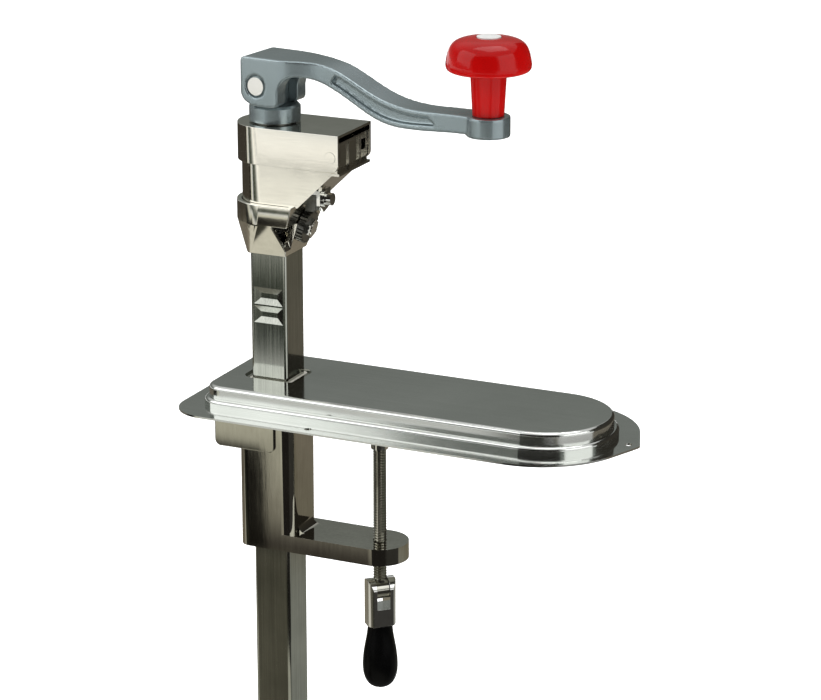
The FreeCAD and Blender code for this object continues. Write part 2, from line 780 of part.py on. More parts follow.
def bevel_rings(teeth, cone, phase):
    # Tooth outline at the big and the small end, apex at the origin, axis +Z.
    pitch_r = gear_module * teeth / 2
    depth = cone_long * math.cos(cone)
    tip = pitch_r + gear_module * tooth_rise * math.cos(cone)
    rootr = pitch_r - gear_module * tooth_drop * math.cos(cone)
    tip_depth = depth - gear_module * tooth_rise * math.sin(cone)
    root_depth = depth + gear_module * tooth_drop * math.sin(cone)
    step = 2 * math.pi / teeth
    rings = []
    for scale in (1.0, face_share):
        pts = []
        for i in range(teeth):
            mid = i * step + phase
            for share_here, radius, level in (
                (-0.5 * (1.25 - tooth_share) * 0.5 - 0.08, rootr, root_depth),
                (-0.5 * tooth_share * 0.55, tip, tip_depth),
                (0.5 * tooth_share * 0.55, tip, tip_depth),
                (0.5 * (1.25 - tooth_share) * 0.5 + 0.08, rootr, root_depth),
            ):
                a = mid + share_here * step
                pts.append(vec(radius * math.cos(a) * scale, radius * math.sin(a) * scale, level * scale))
        rings.append(pts)
    return rings


def bevel_solid(teeth, cone, bore, phase, hub, hub_top):
    # Tooth rings joined face by face into one solid.
    big, small = bevel_rings(teeth, cone, phase)
    count = len(big)
    faces = []
    for i in range(count):
        j = (i + 1) % count
        for tri in ((big[i], big[j], small[j]), (big[i], small[j], small[i])):
            faces.append(Part.Face(Part.makePolygon([tri[0], tri[1], tri[2], tri[0]])))
    big_mid = vec(0, 0, sum(p.z for p in big) / count)
    small_mid = vec(0, 0, sum(p.z for p in small) / count)
    for ring, mid in ((big, big_mid), (small, small_mid)):
        for i in range(count):
            j = (i + 1) % count
            faces.append(Part.Face(Part.makePolygon([ring[i], ring[j], mid, ring[i]])))
    shell = Part.makeShell(faces)
    solid = Part.makeSolid(shell)
    if solid.Volume < 0:
        solid.reverse()
    low = cone_long * math.cos(cone)
    solid = solid.fuse(upright(hub, 0, 0, low * 0.96, hub_top))
    solid = solid.cut(upright(bore, 0, 0, -5, hub_top + 5))
    return solid


drive_gear = bevel_solid(drive_teeth, drive_cone, spindle_r, 0.0, hub_r, hub_top_z - apex_z)
drive_gear.translate(apex)
drive_gear = drive_gear.cut(rod(drive_pin_r, 40, vec(-20, 0, drive_pin_z), vec(1, 0, 0)))
keep("drive_gear", drive_gear)

half_step = math.pi / driven_teeth
feed_hub_r = feed_shaft_r + feed_hub_wall
driven_gear = bevel_solid(driven_teeth, driven_cone, feed_shaft_r, half_step, feed_hub_r, gear_back)
driven_gear.rotate(vec(0, 0, 0), vec(0, 1, 0), 90 + lean)
driven_gear.translate(apex)
keep("driven_gear", driven_gear)

wheel_end = wheel_start + wheel_thick
feed_tip = wheel_end + nut_thick + 0.4
keep("feed_shaft", rod(feed_shaft_r, feed_tip - feed_start, feed_point(feed_start), feed_dir))
bush_start = gear_back + 0.2
feed_bush = rod(feed_bush_r, wheel_start - 0.3 - bush_start, feed_point(bush_start), feed_dir)
keep("feed_bush", feed_bush.cut(rod(feed_shaft_r + fit_gap, 40, feed_point(0), feed_dir)))

wheel_root = wheel_r - wheel_tooth
wheel_pts = []
for i in range(wheel_teeth):
    for part, radius in ((0.0, wheel_r), (0.45, wheel_r), (0.6, wheel_root), (0.9, wheel_root)):
        a = 2 * math.pi * (i + part) / wheel_teeth
        wheel_pts.append(vec(radius * math.cos(a), radius * math.sin(a), 0))
wheel = Part.Face(Part.makePolygon(wheel_pts + wheel_pts[:1])).extrude(vec(0, 0, wheel_thick))
wheel = wheel.cut(upright(feed_shaft_r, 0, 0, -1, wheel_thick + 1))
wheel.rotate(vec(0, 0, 0), vec(0, 1, 0), 90 + lean)
wheel.translate(feed_point(wheel_start))
keep("feed_wheel", wheel)
nut_r = feed_shaft_r + 2.2
nut_pts = []
for i in range(6):
    a = math.radians(60 * i)
    nut_pts.append(vec(nut_r * math.cos(a), nut_r * math.sin(a), 0))
nut = Part.Face(Part.makePolygon(nut_pts + nut_pts[:1])).extrude(vec(0, 0, nut_thick))
nut = nut.cut(upright(feed_shaft_r, 0, 0, -1, 5))
nut.rotate(vec(0, 0, 0), vec(0, 1, 0), 90 + lean)
nut.translate(feed_point(wheel_end))
keep("feed_nut", nut)

# Cutter group

holder = block(holder_left, holder_right, -holder_half, holder_half, holder_bottom_z, cap_bottom_z)
below = [(x, z) for x, z in (
    (0, band_top_z), (knee_x + 0.6, band_top_z), (slant_high[0] + 0.5, slant_high[1] - head_sheet),
    (60, bracket_bottom_z), (0, bracket_bottom_z),
)]
holder = holder.common(side_poly(below, -30, 30))
holder = holder.cut(rod(bolt_r, 40, vec(holder_left - 1, 0, bolt_z), vec(1, 0, 0)))
keep("blade_holder", holder.removeSplitter())
blade_right = holder_right + blade_thick
blade_pts = [(-7.5, 12.2), (7.5, 12.2), (7.5, -0.8), (4.0, -6.4), (-1.5, -8.2), (-7.5, -3.3)]
blade_wire = Part.makePolygon([vec(holder_right, y, bolt_z + z) for y, z in blade_pts + blade_pts[:1]])
blade = Part.Face(blade_wire).extrude(vec(blade_thick, 0, 0)).common(side_poly(below, -30, 30))
blade = blade.cut(rod(bolt_r, 40, vec(0, 0, bolt_z), vec(1, 0, 0)))
keep("cutter_blade", blade.removeSplitter())
lock = rod(bolt_r + lock_wall, lock_thick, vec(blade_right, 0, bolt_z), vec(1, 0, 0))
keep("blade_washer", lock.cut(rod(bolt_r, 40, vec(0, 0, bolt_z), vec(1, 0, 0))))
head_x = blade_right + lock_thick
blade_bolt = rod(bolt_r, head_x - holder_left, vec(holder_left, 0, bolt_z), vec(1, 0, 0))
bolt_head_r = bolt_r + bolt_head_wall
blade_bolt = blade_bolt.fuse(rod(bolt_head_r, bolt_head_long, vec(head_x, 0, bolt_z), vec(1, 0, 0)))
keep("blade_bolt", blade_bolt)

# Crank and knob

upper_shape = [
    (8, 18.0), (24, 18.0), (38, 17.4), (50, 14.8), (63, 9.2),
    (80, 1.6), (97, -2.4), (115, -3.1), (151, -3.2),
]
lower_shape = [
    (151, -14.0), (120, -14.5), (100, -15.3), (91, -14.8), (80, -12.3),
    (62, -3.8), (47.5, 3.2), (34, 7.4), (24, 8.2),
]


def reach_x(x):
    # Points beyond the fork move out with the reach of the crank.
    return x if x <= 38 else 38 + (x - 38) * (crank_reach - 38) / (151.0 - 38)


upper_line = [(reach_x(x), pin_z + z) for x, z in upper_shape]
lower_line = [(reach_x(x), pin_z + z) for x, z in lower_shape]


def curve(points, y):
    spline = Part.BSplineCurve()
    spline.interpolate([vec(x, y, z) for x, z in points])
    return spline.toShape()


def line(a, b, y):
    return Part.makeLine(vec(a[0], y, a[1]), vec(b[0], y, b[1]))


y0 = -fork_half
relief_dx = crank_pin_x - fork_left
relief_z = pin_z - math.sqrt(fork_relief ** 2 - relief_dx ** 2)
relief_mid = math.radians(-90 - 0.5 * math.degrees(math.acos((pin_z - relief_z) / fork_relief)))
mid_x = crank_pin_x + fork_relief * math.cos(relief_mid)
mid_pt = vec(mid_x, y0, pin_z + fork_relief * math.sin(relief_mid))
low_left = (crank_pin_x, pin_z - fork_relief)
left_low = (fork_left, relief_z)
left_high = (fork_left, fork_top_z - fork_top_round)
top_left = (fork_left + fork_top_round, fork_top_z)
turn = 1 - math.sqrt(0.5)
top_mid = (fork_left + fork_top_round * turn, fork_top_z - fork_top_round * turn)
fork_low = pin_z - fork_relief
low_right = (fork_right - fork_low_round, fork_low)
low_mid = (fork_right - fork_low_round * turn, fork_low + fork_low_round * turn)
right_low = (fork_right, fork_low + fork_low_round)
right_high = (fork_right, pin_z - 2.4)
arch_end = lower_line[-1]
arch_in = (arch_end[0] - right_high[0], arch_end[1] - right_high[1])
arch_mid = (right_high[0] + arch_in[0] * 0.27, right_high[1] + arch_in[1] * 0.66)


def arc(a, b, c, y):
    return Part.Arc(vec(a[0], y, a[1]), vec(b[0], y, b[1]), vec(c[0], y, c[1])).toShape()


side_edges = [
    line(left_low, left_high, y0),
    arc(left_high, top_mid, top_left, y0),
    line(top_left, upper_line[0], y0),
    curve(upper_line, y0),
    line(upper_line[-1], lower_line[0], y0),
    curve(lower_line, y0),
    arc(arch_end, arch_mid, right_high, y0),
    line(right_high, right_low, y0),
    arc(right_low, low_mid, low_right, y0),
    line(low_right, low_left, y0),
    Part.Arc(vec(low_left[0], y0, low_left[1]), mid_pt, vec(left_low[0], y0, left_low[1])).toShape(),
]
side = Part.Face(Part.Wire(side_edges)).extrude(vec(0, 2 * fork_half, 0))
neck_in = fork_half - arm_half
neck = [(6, 1.0), (13, 0.96), (21, 0.74), (29, 0.36), (37, 0.08), (46, 0.0)]
near = [vec(x, -(arm_half + neck_in * share), pin_z - 50) for x, share in neck]
far = [vec(p.x, -p.y, p.z) for p in reversed(near)]
back_r = fork_side_round
k = back_r * (1 - math.sqrt(0.5))
corner_far = vec(fork_left, fork_half, pin_z - 50)
corner_near = vec(fork_left, -fork_half, pin_z - 50)
near_curve = Part.BSplineCurve()
near_curve.interpolate(near)
far_curve = Part.BSplineCurve()
far_curve.interpolate(far)
end_x = crank_reach
plan_edges = [
    near_curve.toShape(),
    Part.makeLine(near[-1], vec(end_x, near[-1].y, pin_z - 50)),
    Part.makeLine(vec(end_x, near[-1].y, pin_z - 50), vec(end_x, far[0].y, pin_z - 50)),
    Part.makeLine(vec(end_x, far[0].y, pin_z - 50), far[0]),
    far_curve.toShape(),
    Part.makeLine(far[-1], corner_far.add(vec(back_r, 0, 0))),
    Part.Arc(
        corner_far.add(vec(back_r, 0, 0)), corner_far.add(vec(k, -k, 0)), corner_far.add(vec(0, -back_r, 0))
    ).toShape(),
    Part.makeLine(corner_far.add(vec(0, -back_r, 0)), corner_near.add(vec(0, back_r, 0))),
    Part.Arc(
        corner_near.add(vec(0, back_r, 0)), corner_near.add(vec(k, k, 0)), corner_near.add(vec(back_r, 0, 0))
    ).toShape(),
    Part.makeLine(corner_near.add(vec(back_r, 0, 0)), near[0]),
]
plan = Part.Face(Part.Wire(plan_edges)).extrude(vec(0, 0, 100))
crank = side.common(plan)
boss = upright(boss_r, crank_reach, 0, boss_bottom_z, boss_top_z)
crank = crank.fuse(boss)
slot = tongue_thick / 2 + free_gap
crank = crank.cut(block(-30, 23, -slot, slot, pin_z - 30, pin_z + 13.6))
groove_top = [(x, z - groove_edge) for x, z in upper_line[3:-1]]
groove_low = [(x, z + groove_edge) for x, z in lower_line[1:-2]]
groove_edges = [
    curve(groove_top, 0),
    line(groove_top[-1], groove_low[0], 0),
    curve(groove_low, 0),
    line(groove_low[-1], groove_top[0], 0),
]
groove = Part.Face(Part.Wire(groove_edges))
for side_sign in (-1, 1):
    pocket = groove.extrude(vec(0, 30, 0))
    if side_sign > 0:
        pocket.translate(vec(0, arm_half - groove_deep, 0))
    else:
        pocket.translate(vec(0, -arm_half + groove_deep - 30, 0))
    crank = crank.cut(pocket)
crank = crank.cut(upright(knob_bolt_r, crank_reach, 0, pin_z - 50, pin_z + 50))
crank = crank.cut(rod(crank_pin_r, 60, vec(crank_pin_x, -30, pin_z), vec(0, 1, 0)))
for side_sign in (-1, 1):
    at = vec(crank_pin_x, side_sign * (fork_half - recess_deep), pin_z)
    crank = crank.cut(rod(recess_r, 5, at, vec(0, side_sign, 0)))
crank = crank.removeSplitter()

pin_half = fork_half - recess_deep
pin_body = rod(crank_pin_r, 2 * pin_half, vec(crank_pin_x, -pin_half, pin_z), vec(0, 1, 0))
for side_sign in (-1, 1):
    at = vec(crank_pin_x, side_sign * (fork_half - recess_deep), pin_z)
    pin_body = pin_body.fuse(rod(pin_head_r, pin_head_long, at, vec(0, side_sign, 0)))

bolt_top_z = knob_top_z + 0.6
head_low_z = bolt_top_z - 3.2
knob_bolt = upright(knob_bolt_r, crank_reach, 0, boss_bottom_z, head_low_z)
knob_bolt = knob_bolt.fuse(upright(cap_screw_r, crank_reach, 0, head_low_z, bolt_top_z))

head_high = knob_top_z - stem_top_z
dome = knob_head_r - stem_top_r
knob_shape = [
    (0.0, 0.0), (0.352, -0.0148), (0.766, 0.0148), (0.945, 0.069), (1.0, 0.172), (0.986, 0.330),
    (0.945, 0.488), (0.876, 0.655), (0.731, 0.813), (0.441, 0.931), (0.110, 0.980),
]
knob_rows = [(stem_top_r + out_share * dome, stem_top_z + up * head_high) for out_share, up in knob_shape]
knob_rows.append((cap_screw_r + 1.8, knob_top_z))
knob_curve = Part.BSplineCurve()
knob_curve.interpolate([vec(crank_reach + r, 0, z) for r, z in knob_rows])
foot_pt = vec(crank_reach + stem_foot_r, 0, knob_low_z)
axis_low = vec(crank_reach, 0, knob_low_z)
axis_top = vec(crank_reach, 0, knob_top_z)
stem_pt = vec(crank_reach + stem_top_r, 0, stem_top_z)
knob_face = Part.Face(
    Part.Wire(
        [
            Part.makeLine(axis_low, foot_pt),
            Part.makeLine(foot_pt, stem_pt),
            knob_curve.toShape(),
            Part.makeLine(vec(crank_reach + cap_screw_r + 1.8, 0, knob_top_z), axis_top),
            Part.makeLine(axis_top, axis_low),
        ]
    )
)
knob = knob_face.revolve(vec(crank_reach, 0, 0), vec(0, 0, 1), 360)
knob = knob.cut(upright(knob_bolt_r + knob_gap, crank_reach, 0, knob_low_z - 1, knob_top_z + 1))
knob = knob.cut(upright(cap_screw_r + free_gap, crank_reach, 0, head_low_z - free_gap, knob_top_z + 1))

for name, shape in (
    ("crank_arm", crank), ("crank_cross_pin", pin_body), ("knob_bolt", knob_bolt), ("knob", knob),
    ("spindle_collar", made["spindle_collar"]),
):
    shape.rotate(vec(0, 0, 0), vec(0, 0, 1), crank_turn)
    keep(name, shape)

# Export

for name in sorted(made):
    shape = made[name]
    shape.exportStep(os.path.join(out, name + ".step"))
    box_now = shape.BoundBox
    print(
        name, "valid", shape.isValid(), "solids", len(shape.Solids), "volume", round(shape.Volume, 1),
        "z", round(box_now.ZMin, 2), round(box_now.ZMax, 2),
    )
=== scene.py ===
import json
import math

import bpy
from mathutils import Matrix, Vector


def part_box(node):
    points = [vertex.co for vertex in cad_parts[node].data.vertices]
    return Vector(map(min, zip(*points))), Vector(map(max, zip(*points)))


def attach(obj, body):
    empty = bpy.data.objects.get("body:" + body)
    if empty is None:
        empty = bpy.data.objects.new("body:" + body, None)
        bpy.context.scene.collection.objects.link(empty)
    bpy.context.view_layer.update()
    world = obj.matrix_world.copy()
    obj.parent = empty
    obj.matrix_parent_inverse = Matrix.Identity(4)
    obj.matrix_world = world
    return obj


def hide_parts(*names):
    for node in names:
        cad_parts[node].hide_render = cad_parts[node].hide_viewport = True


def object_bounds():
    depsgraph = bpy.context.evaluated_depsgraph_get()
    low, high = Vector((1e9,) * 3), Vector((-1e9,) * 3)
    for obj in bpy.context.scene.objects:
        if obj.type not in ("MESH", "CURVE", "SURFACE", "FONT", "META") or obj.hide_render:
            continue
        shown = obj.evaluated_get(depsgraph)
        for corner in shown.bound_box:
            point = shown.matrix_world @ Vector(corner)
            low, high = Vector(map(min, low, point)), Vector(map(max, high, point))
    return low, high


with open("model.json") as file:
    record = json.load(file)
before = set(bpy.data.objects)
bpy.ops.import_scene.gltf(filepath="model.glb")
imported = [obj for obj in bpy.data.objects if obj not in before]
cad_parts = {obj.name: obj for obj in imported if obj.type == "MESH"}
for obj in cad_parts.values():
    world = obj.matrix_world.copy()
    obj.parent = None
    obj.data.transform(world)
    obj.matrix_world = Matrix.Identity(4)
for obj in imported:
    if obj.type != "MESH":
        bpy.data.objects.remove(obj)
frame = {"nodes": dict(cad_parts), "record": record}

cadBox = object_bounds()
nodes = frame["nodes"]
print("frame loaded,", len(nodes), "nodes")

# Camera
view = {"place": (0.8573, -1.6510, 0.6083), "lookAt": (0.07545, 0.03499, 0.0298), "lens": 135.8,
        "sensor": 36, "farthest": 50}
cameraData = bpy.data.cameras.new("viewCamera")
cameraData.lens = view["lens"]
cameraData.sensor_width = view["sensor"]
cameraData.clip_end = view["farthest"]
camera = bpy.data.objects.new("viewCamera", cameraData)
bpy.context.scene.collection.objects.link(camera)
camera.location = view["place"]
camera.rotation_euler = (Vector(view["lookAt"]) - Vector(view["place"])).to_track_quat("-Z", "Y").to_euler()
bpy.context.scene.camera = camera
bpy.context.scene.view_settings.view_transform = "Standard"
print("camera set")


class Wire:
    # one shader socket, so that maths on it reads as sums
    def __init__(self, board, socket):
        self.board = board
        self.socket = socket

    def maths(self, operation, first, second):
        return self.board.node("ShaderNodeMath", {"operation": operation}, {0: first, 1: second})

    def __add__(self, other):
        return self.maths("ADD", self, other)

    def __radd__(self, other):
        return self.maths("ADD", other, self)

    def __sub__(self, other):
        return self.maths("SUBTRACT", self, other)

    def __rsub__(self, other):
        return self.maths("SUBTRACT", other, self)

    def __mul__(self, other):
        return self.maths("MULTIPLY", self, other)

    def __rmul__(self, other):
        return self.maths("MULTIPLY", other, self)


class Board:
    # the nodes of one material
    def __init__(self, name):
        self.material = bpy.data.materials.new(name)
        self.material.use_nodes = True
        self.tree = self.material.node_tree
        self.tree.nodes.clear()

    def node(self, kind, settings=None, sockets=None, out=0):
        made = self.tree.nodes.new(kind)
        for key, value in (settings or {}).items():
            if key == "stops":
                layStops(made.color_ramp, value)
            else:
                setattr(made, key, value)
        for key, value in (sockets or {}).items():
            if isinstance(value, Wire):
                self.tree.links.new(value.socket, made.inputs[key])
            else:
                made.inputs[key].default_value = value
        return Wire(self, made.outputs[out] if len(made.outputs) else None)

    def place(self, scale=(1, 1, 1)):
        where = self.node("ShaderNodeTexCoord", out="Object")
        return self.node("ShaderNodeMapping", None, {"Vector": where, "Scale": scale})

    def noise(self, where, scale, detail):
        return self.node("ShaderNodeTexNoise", None,
                         {"Vector": where, "Scale": scale, "Detail": detail, "Roughness": 0.55}, "Fac")

    def between(self, value, low, high, kind="LINEAR"):
        # 0 below low, 1 above high
        return self.node("ShaderNodeMapRange", {"interpolation_type": kind},
                         {"Value": value, "From Min": low, "From Max": high})

    def smooth(self, value, low, high):
        return self.between(value, low, high, "SMOOTHSTEP")

    def band(self, value, riseLow, riseHigh, fallLow, fallHigh):
        # 1 between the two slopes, 0 outside them
        return self.smooth(value, riseLow, riseHigh) * (1 - self.smooth(value, fallLow, fallHigh))

    def along(self, where, way):
        return self.node("ShaderNodeVectorMath", {"operation": "DOT_PRODUCT"}, {0: where, 1: way}, "Value")

    def mix(self, mask, first, second):
        first = first if isinstance(first, Wire) else (*first, 1)
        second = second if isinstance(second, Wire) else (*second, 1)
        return self.node("ShaderNodeMix", {"data_type": "RGBA"}, {0: mask, 6: first, 7: second}, 2)

    def finish(self, shader):
        self.node("ShaderNodeOutputMaterial", None, {"Surface": shader})
        return self.material


def layStops(ramp, stops):
    # puts a ramp's colours at their places
    while len(ramp.elements) < len(stops):
        ramp.elements.new(0.5)
    for element, (place, shade) in zip(ramp.elements, stops):
        element.position = place
        element.color = (*shade, 1)


# How every metal is mixed: shares of the cloud and the grain in its tone, and how deep its grain is, in metres
metalMix = {"cloudShare": 0.6, "grainShare": 0.4, "toneLow": 0.32, "toneHigh": 0.68,
            "cloudDetail": 3.0, "grainDetail": 4.0, "depth": 0.0001}


def metalFinish(name, look):
    board = Board(name)
    grain = board.noise(board.place(look["grainScale"]), 1.0, metalMix["grainDetail"])
    cloud = board.noise(board.place(), look["cloudScale"], metalMix["cloudDetail"])
    blend = cloud * metalMix["cloudShare"] + grain * metalMix["grainShare"]
    colour = board.mix(board.between(blend, metalMix["toneLow"], metalMix["toneHigh"]), look["dark"], look["light"])
    rough = look["rough"] + (grain - 0.5) * look["roughGrain"] + (cloud - 0.5) * look["roughCloud"]
    relief = board.node("ShaderNodeBump", None, {
        "Height": grain * look["grainHeight"], "Strength": look["bump"], "Distance": metalMix["depth"]})
    return board.finish(board.node("ShaderNodeBsdfPrincipled", None, {
        "Base Color": colour, "Metallic": look.get("metallic", 1.0), "Roughness": rough, "Normal": relief}))


# How every plastic is mixed: its smudges' range of tone, and how deep its moulded skin is, in metres
plasticMix = {"toneLow": 0.35, "toneHigh": 0.65, "peelDetail": 2.0, "smudgeDetail": 4.0, "depth": 0.0002}


def plasticFinish(name, look):
    board = Board(name)
    peel = board.noise(board.place(), look["peelScale"], plasticMix["peelDetail"])
    smudge = board.noise(board.place(), look["smudgeScale"], plasticMix["smudgeDetail"])
    tone = board.between(smudge, plasticMix["toneLow"], plasticMix["toneHigh"])
    rough = look["rough"] + (smudge - 0.5) * look["roughSmudge"]
    relief = board.node("ShaderNodeBump", None, {
        "Height": peel, "Strength": look["bump"], "Distance": plasticMix["depth"]})
    return board.finish(board.node("ShaderNodeBsdfPrincipled", None, {
        "Base Color": board.mix(tone, look["dark"], look["light"]), "Roughness": rough, "Normal": relief,
        "IOR": look["ior"], "Specular IOR Level": look["shine"]}))


# Finishes: grainScale is cycles per metre along X, Y and Z
finishes = {
    "nickel_sheet": {"dark": (0.76, 0.74, 0.67), "light": (0.88, 0.86, 0.79), "rough": 0.07, "roughGrain": 0.03,
                     "roughCloud": 0.05, "grainScale": (90, 90, 900), "cloudScale": 30.0, "grainHeight": 0.5,
                     "bump": 0.05},
    "head_cast": {"dark": (0.72, 0.70, 0.63), "light": (0.86, 0.84, 0.76), "rough": 0.11, "roughGrain": 0.04,
                  "roughCloud": 0.05, "grainScale": (300, 300, 300), "cloudScale": 45.0, "grainHeight": 0.6,
                  "bump": 0.09},
    "base_steel": {"dark": (0.60, 0.615, 0.59), "light": (0.72, 0.735, 0.71), "rough": 0.11, "roughGrain": 0.05,
                   "roughCloud": 0.04, "grainScale": (14, 1400, 1400), "cloudScale": 14.0, "grainHeight": 0.6,
                   "bump": 0.05},
    "bar_steel": {"dark": (0.30, 0.31, 0.28), "light": (0.54, 0.55, 0.50), "rough": 0.10, "roughGrain": 0.10,
                  "roughCloud": 0.05, "grainScale": (1100, 1100, 12), "cloudScale": 20.0, "grainHeight": 0.8,
                  "bump": 0.09},
    "frame_plate": {"dark": (0.42, 0.41, 0.36), "light": (0.56, 0.55, 0.49), "rough": 0.055, "roughGrain": 0.03,
                    "roughCloud": 0.03, "grainScale": (500, 500, 60), "cloudScale": 40.0, "grainHeight": 0.6,
                    "bump": 0.08},
    "crank_cast": {"dark": (0.26, 0.315, 0.33), "light": (0.34, 0.40, 0.415), "rough": 0.25, "roughGrain": 0.03,
                   "roughCloud": 0.05, "grainScale": (2200, 2200, 2200), "cloudScale": 22.0, "grainHeight": 0.5,
                   "bump": 0.025, "metallic": 0.78},
    "bright_steel": {"dark": (0.72, 0.72, 0.70), "light": (0.86, 0.86, 0.84), "rough": 0.09, "roughGrain": 0.06,
                     "roughCloud": 0.05, "grainScale": (400, 400, 60), "cloudScale": 60.0, "grainHeight": 0.5,
                     "bump": 0.05},
    "hard_steel": {"dark": (0.16, 0.16, 0.15), "light": (0.27, 0.27, 0.25), "rough": 0.34, "roughGrain": 0.10,
                   "roughCloud": 0.12, "grainScale": (700, 700, 700), "cloudScale": 90.0, "grainHeight": 0.7,
                   "bump": 0.12},
    "bolt_disc": {"dark": (0.78, 0.78, 0.77), "light": (0.92, 0.92, 0.91), "rough": 0.55, "roughGrain": 0.08,
                  "roughCloud": 0.05, "grainScale": (900, 900, 900), "cloudScale": 60.0, "grainHeight": 0.5,
                  "bump": 0.06, "metallic": 0.35},
    "bronze": {"dark": (0.45, 0.30, 0.13), "light": (0.62, 0.44, 0.22), "rough": 0.36, "roughGrain": 0.10,
               "roughCloud": 0.10, "grainScale": (1200, 1200, 1200), "cloudScale": 80.0, "grainHeight": 0.7,
               "bump": 0.12},
}
plastics = {
    "knob_red": {"dark": (0.38, 0.002, 0.002), "light": (0.45, 0.002, 0.002), "rough": 0.12, "roughSmudge": 0.06,
                 "peelScale": 900.0, "smudgeScale": 40.0, "bump": 0.01, "ior": 1.45, "shine": 0.28},
    "grip_black": {"dark": (0.001, 0.001, 0.001), "light": (0.002, 0.002, 0.002), "rough": 0.25,
                   "roughSmudge": 0.10, "peelScale": 700.0, "smudgeScale": 60.0, "bump": 0.05, "ior": 1.4,
                   "shine": 0.08},
    "plug_black": {"dark": (0.012, 0.012, 0.012), "light": (0.022, 0.022, 0.022), "rough": 0.45,
                   "roughSmudge": 0.15, "peelScale": 1500.0, "smudgeScale": 80.0, "bump": 0.10, "ior": 1.5,
                   "shine": 0.5},
    "guide_nylon": {"dark": (0.62, 0.60, 0.53), "light": (0.74, 0.72, 0.65), "rough": 0.42, "roughSmudge": 0.12,
                    "peelScale": 1100.0, "smudgeScale": 50.0, "bump": 0.08, "ior": 1.5, "shine": 0.5},
}
paint = {name: metalFinish(name, look) for name, look in finishes.items()}
paint.update({name: plasticFinish(name, look) for name, look in plastics.items()})
slotOf = {part["node"]: part["material_slot"] for part in frame["record"]["subparts"]}
bodyOf = {name: body for body, names in frame["record"]["behaviour"]["bodies"].items() for name in names}
shownAs = {"front_rivet": "nickel_sheet", "back_rivet": "nickel_sheet", "knob_bolt": "bolt_disc"}
for name, piece in nodes.items():
    piece.data.materials.clear()
    piece.data.materials.append(paint[shownAs.get(name, slotOf[name])])
print("finishes put on", len(nodes), "nodes")


def startClean():
    if bpy.context.object and bpy.context.object.mode != "OBJECT":
        bpy.ops.object.mode_set(mode="OBJECT")
    bpy.ops.object.select_all(action="DESELECT")


def take(piece):
    # selects one piece alone
    startClean()
    piece.select_set(True)
    bpy.context.view_layer.objects.active = piece


def editAll():
    # opens the active piece for editing, all of it selected
    bpy.ops.object.mode_set(mode="EDIT")
    bpy.ops.mesh.select_all(action="SELECT")


def applied(piece, kind, settings):
    # adds one modifier and applies it
    take(piece)
    modifier = piece.modifiers.new(kind.lower(), kind)
    for key, value in settings.items():
        setattr(modifier, key, value)
    bpy.ops.object.modifier_apply(modifier=modifier.name)


def workingCopy(node, name, flatAngle):
    # a merged copy of a CAD node; a flatAngle, in degrees, makes its flat faces whole
    copy = bpy.data.objects.new(name, nodes[node].data.copy())
    bpy.context.scene.collection.objects.link(copy)
    take(copy)
    bpy.ops.mesh.customdata_custom_splitnormals_clear()
    editAll()
    bpy.ops.mesh.remove_doubles(threshold=0.000003)
    if flatAngle:
        bpy.ops.mesh.dissolve_limited(angle_limit=math.radians(flatAngle))
    bpy.ops.object.mode_set(mode="OBJECT")
    return copy


def settle(piece, body, slot, node, smoothAngle, evened=False):
    # gives a finished piece its smooth faces, finish and body, and hides the CAD node it stands for
    take(piece)
    bpy.ops.object.transform_apply(location=True, rotation=True, scale=True)
    bpy.ops.object.shade_smooth_by_angle(angle=math.radians(smoothAngle))
    if evened:
        applied(piece, "WEIGHTED_NORMAL", {"weight": 100, "keep_sharp": True})
    piece.data.materials.clear()
    piece.data.materials.append(paint[slot])
    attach(piece, body)
    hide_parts(node)


# Crank: cast, so every edge is rounded
crank = {"grid": 0.00062, "passes": 5, "strength": 0.5, "smoothAngle": 60}
crankPiece = workingCopy("crank_arm", "crankCasting", 0)
applied(crankPiece, "REMESH", {"mode": "VOXEL", "voxel_size": crank["grid"]})
applied(crankPiece, "SMOOTH", {"factor": crank["strength"], "iterations": crank["passes"]})
settle(crankPiece, bodyOf["crank_arm"], slotOf["crank_arm"], "crank_arm", crank["smoothAngle"])
print("crank cast,", len(crankPiece.data.polygons), "faces")

# Clamp screw: a rolled thread wound up the rod, with the CAD rod's eye and spigot.
# overlap is how far the thread runs down into the eye, and early is how many turns are cut away at the start
thread = {"pitch": 0.00175, "crest": 0.00430, "root": 0.00345, "crestShare": 0.2, "steps": 20, "eyeTop": 0.0132,
          "spigot": 0.0102, "overlap": 0.0004, "early": 2, "spare": 4, "mergeGap": 0.000005, "flatAngle": 0.5,
          "smoothAngle": 28}
low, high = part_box("clamp_screw")
threadLow = low.z + thread["eyeTop"]
threadHigh = high.z - thread["spigot"]
threadSide = (thread["crest"] + thread["root"]) / 2
turns = math.ceil((threadHigh - threadLow) / thread["pitch"]) + thread["spare"]


def cutAt(piece, level, keepAbove):
    # cuts a piece flat at one level, keeps one side and closes the cut
    take(piece)
    editAll()
    bpy.ops.mesh.bisect(plane_co=(0, 0, level), plane_no=(0, 0, 1), use_fill=True,
                        clear_inner=keepAbove, clear_outer=not keepAbove)
    bpy.ops.object.mode_set(mode="OBJECT")


def pickSide(piece, outer):
    # selects the profile's outer or inner corners and the edge between them
    mesh = piece.data
    for vertex in mesh.vertices:
        vertex.select = (vertex.co.x > threadSide) == outer
    for edge in mesh.edges:
        edge.select = all(mesh.vertices[i].select for i in edge.vertices)
    for face in mesh.polygons:
        face.select = False


